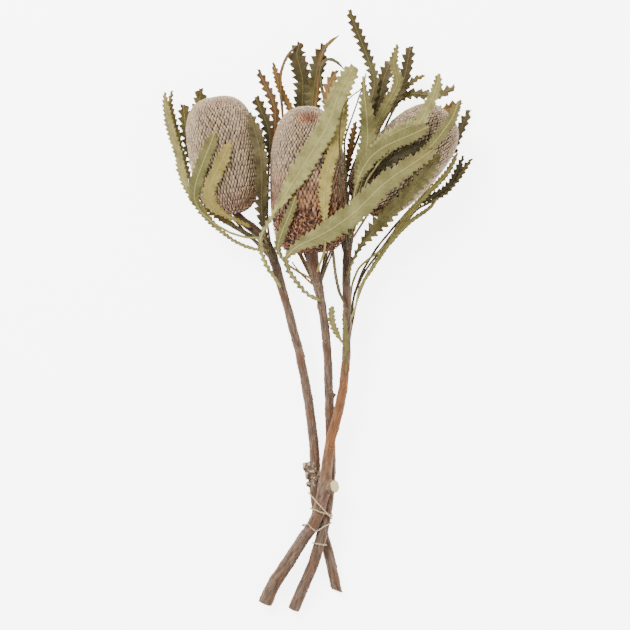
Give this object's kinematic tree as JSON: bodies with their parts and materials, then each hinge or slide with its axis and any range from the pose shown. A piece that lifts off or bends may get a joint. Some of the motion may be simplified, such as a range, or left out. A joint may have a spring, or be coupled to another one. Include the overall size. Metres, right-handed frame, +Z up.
{
  "type": "tied bunch of dried banksia flower spikes",
  "caption": "Dried banksia flower spikes on woody stems with saw-toothed leaves, tied with twine and lying flat, for display or filling a vase.",
  "frame": {"origin": "centre of the bunch's bounding box in plan, on the surface that it lies on", "axes": "+Y from the cut ends to the leaf tips, +Z up off the surface, +X to the right seen from above"},
  "size_m": [0.3125, 0.6046, 0.0933],
  "materials": {
    "florets": "dry woolly florets",
    "bark": "rough bark",
    "twine": "twisted natural fibre",
    "leaf_pale": "dry felted underside",
    "leaf_olive": "dry leathery upper side",
    "leaf_brown": "dry leathery upper side"
  },
  "bodies": {
    "root": {"head_left": "florets", "head_middle": "florets", "head_right": "florets", "leaf_left_arched_tip": "leaf_brown", "leaf_left_back_blunt": "leaf_olive", "leaf_left_back_tall": "leaf_pale", "leaf_left_back_top": "leaf_olive", "leaf_left_edge": "leaf_olive", "leaf_left_front": "leaf_pale", "leaf_left_front_edge": "leaf_pale", "leaf_left_gap_brown": "leaf_brown", "leaf_left_gap_dark": "leaf_olive", "leaf_left_gap_olive": "leaf_olive", "leaf_left_outer": "leaf_pale", "leaf_left_slip": "leaf_olive", "leaf_left_stalk": "leaf_brown", "leaf_middle_arched_tip": "leaf_olive", "leaf_middle_back_left": "leaf_olive", "leaf_middle_back_right": "leaf_olive", "leaf_middle_back_small": "leaf_brown", "leaf_middle_front": "leaf_pale", "leaf_middle_front_large": "leaf_pale", "leaf_middle_front_right": "leaf_pale", "leaf_middle_narrow": "leaf_pale", "leaf_middle_slip": "leaf_brown", "leaf_middle_stalk": "leaf_brown", "leaf_middle_thin_tip": "leaf_pale", "leaf_right_back_dark": "leaf_olive", "leaf_right_back_end": "leaf_brown", "leaf_right_back_olive": "leaf_olive", "leaf_right_back_small": "leaf_olive", "leaf_right_back_tip": "leaf_olive", "leaf_right_broad": "leaf_olive", "leaf_right_crown": "leaf_olive", "leaf_right_front_end": "leaf_pale", "leaf_right_front_rise": "leaf_pale", "leaf_right_front_upper": "leaf_pale", "leaf_right_front_zigzag": "leaf_pale", "leaf_right_gap_pale": "leaf_pale", "leaf_right_gap_tall": "leaf_pale", "leaf_right_long": "leaf_pale", "leaf_right_low": "leaf_pale", "leaf_right_low_thin": "leaf_olive", "leaf_right_outer_brown": "leaf_brown", "leaf_right_outer_small": "leaf_brown", "leaf_right_rust": "leaf_brown", "leaf_right_scale": "leaf_pale", "leaf_right_shadow": "leaf_olive", "leaf_right_tall": "leaf_olive", "leaf_right_twig": "leaf_brown", "leaf_right_twig_short": "leaf_brown", "leaf_right_under_edge": "leaf_pale", "stem_left": "bark", "stem_middle": "bark", "stem_right": "bark", "twine_ring": "twine", "twine_turn_one": "twine", "twine_turn_three": "twine", "twine_turn_two": "twine"}
  },
  "joints": []
}
